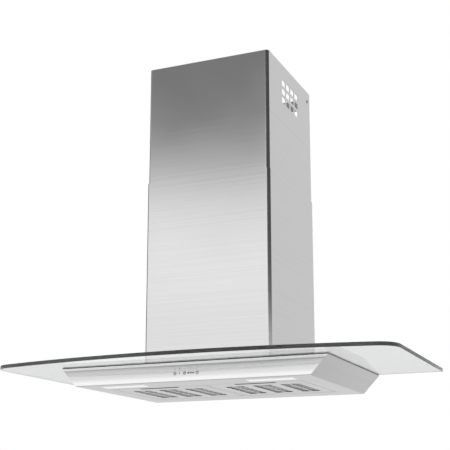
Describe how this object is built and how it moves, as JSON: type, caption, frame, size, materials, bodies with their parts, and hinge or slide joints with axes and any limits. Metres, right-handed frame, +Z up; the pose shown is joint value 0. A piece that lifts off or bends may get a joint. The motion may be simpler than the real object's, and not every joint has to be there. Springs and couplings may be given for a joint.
{
  "type": "range hood",
  "caption": "Wall-mounted range hood: clear glass canopy with a bowed front edge on a slim brushed-steel body with lamps, filters and buttons, under a telescoping chimney.",
  "frame": {"origin": "on the wall plane, midway between the two hanging holes", "axes": "+X to the viewer's right, +Y into the wall, +Z up"},
  "size_m": [0.9, 0.484, 0.7526],
  "materials": {
    "clear_float_glass": "clear float glass with polished edges",
    "brushed_stainless_steel": "brushed stainless steel",
    "galvanised_steel": "hot-dip galvanised sheet",
    "zinc_plated_steel": "bright zinc plate",
    "polished_metal": "polished metal caps",
    "motor_steel": "satin painted steel",
    "expanded_aluminium": "expanded mesh",
    "black_foam": "closed-cell foam",
    "black_plastic": "moulded, satin",
    "grey_plastic": "moulded, satin",
    "white_plastic": "moulded, satin",
    "white_nylon": "natural nylon",
    "green_board": "solder-masked circuit board",
    "white_board": "white solder-masked board",
    "frosted_lens": "frosted acrylic",
    "green_indicator": "tinted acrylic",
    "smoked_indicator": "smoked acrylic"
  },
  "bodies": {
    "root": {"glass_canopy": "clear_float_glass", "glass_gasket": "black_foam", "air_seal_below": "black_foam", "air_seal_above": "black_foam", "top_frame": "galvanised_steel", "front_fascia": "brushed_stainless_steel", "right_side_panel": "brushed_stainless_steel", "left_side_panel": "brushed_stainless_steel", "rear_panel": "galvanised_steel", "underside_panel": "brushed_stainless_steel", "filter_clips": "grey_plastic", "control_box": "black_plastic", "control_board": "green_board", "timer_light": "green_indicator", "speed_lights": "smoked_indicator", "lower_chimney_cover": "brushed_stainless_steel", "cover_clips": "galvanised_steel", "casing_shell": "galvanised_steel", "hanging_plate": "galvanised_steel", "deck_screws": "zinc_plated_steel", "deck_bushes": "white_nylon", "deck_nuts": "zinc_plated_steel", "scroll_right_half": "grey_plastic", "scroll_left_half": "grey_plastic", "motor": "motor_steel", "motor_spider": "galvanised_steel", "duct_collar": "black_plastic", "terminal_box": "black_plastic", "terminal_lid": "black_plastic", "cable_gland": "black_plastic", "capacitor": "white_plastic", "left_lamp_lens": "frosted_lens", "left_lamp_housing": "white_plastic", "left_lamp_board": "white_board", "right_lamp_lens": "frosted_lens", "right_lamp_housing": "white_plastic", "right_lamp_board": "white_board"},
    "upper_chimney": {"upper_chimney_cover": "brushed_stainless_steel", "upper_wall_bracket": "galvanised_steel", "bracket_screws": "zinc_plated_steel"},
    "light_button": {"light_button": "polished_metal"},
    "slower_button": {"slower_button": "polished_metal"},
    "faster_button": {"faster_button": "polished_metal"},
    "blower_wheel": {"impeller": "grey_plastic", "motor_shaft": "zinc_plated_steel"},
    "rear_damper_flap": {"rear_damper_flap": "grey_plastic"},
    "front_damper_flap": {"front_damper_flap": "grey_plastic"},
    "left_filter": {"left_filter_tray": "brushed_stainless_steel", "left_filter_mesh": "expanded_aluminium", "left_filter_back": "galvanised_steel", "left_filter_grip": "brushed_stainless_steel", "left_latch_spring": "zinc_plated_steel"},
    "left_latch": {"left_filter_latch": "black_plastic"},
    "right_filter": {"right_filter_tray": "brushed_stainless_steel", "right_filter_mesh": "expanded_aluminium", "right_filter_back": "galvanised_steel", "right_filter_grip": "brushed_stainless_steel", "right_latch_spring": "zinc_plated_steel"},
    "right_latch": {"right_filter_latch": "black_plastic"}
  },
  "joints": [
    {"name": "upper_cover_slide", "type": "slide", "parent": "root", "child": "upper_chimney", "axis": [0, 0, 1], "range_m": [-0.22, 0.1]},
    {"name": "light_button_press", "type": "slide", "parent": "root", "child": "light_button", "axis": [0, 1, 0], "range_m": [0, 0.0015], "stiffness_N_per_m": 1300},
    {"name": "slower_button_press", "type": "slide", "parent": "root", "child": "slower_button", "axis": [0, 1, 0], "range_m": [0, 0.0015], "stiffness_N_per_m": 1300},
    {"name": "faster_button_press", "type": "slide", "parent": "root", "child": "faster_button", "axis": [0, 1, 0], "range_m": [0, 0.0015], "stiffness_N_per_m": 1300},
    {"name": "impeller_spin", "type": "hinge", "parent": "root", "child": "blower_wheel", "pos_m": [0, -0.157, -0.13359], "axis": [1, 0, 0], "continuous": true},
    {"name": "rear_flap_hinge", "type": "hinge", "parent": "root", "child": "rear_damper_flap", "pos_m": [0, -0.087, -0.01], "axis": [1, 0, 0], "range_deg": [0, 78]},
    {"name": "front_flap_hinge", "type": "hinge", "parent": "root", "child": "front_damper_flap", "pos_m": [0, -0.093, -0.01], "axis": [-1, 0, 0], "range_deg": [0, 78]},
    {"name": "left_filter_hinge", "type": "hinge", "parent": "root", "child": "left_filter", "pos_m": [-0.1125, -0.074, -0.28845], "axis": [1, 0, 0], "range_deg": [0, 80]},
    {"name": "left_latch_slide", "type": "slide", "parent": "left_filter", "child": "left_latch", "axis": [0, 1, 0], "range_m": [0, 0.005], "stiffness_N_per_m": 800, "deforming": ["left_latch_spring"]},
    {"name": "right_filter_hinge", "type": "hinge", "parent": "root", "child": "right_filter", "pos_m": [0.1125, -0.074, -0.28845], "axis": [1, 0, 0], "range_deg": [0, 80]},
    {"name": "right_latch_slide", "type": "slide", "parent": "right_filter", "child": "right_latch", "axis": [0, 1, 0], "range_m": [0, 0.005], "stiffness_N_per_m": 800, "deforming": ["right_latch_spring"]}
  ]
}
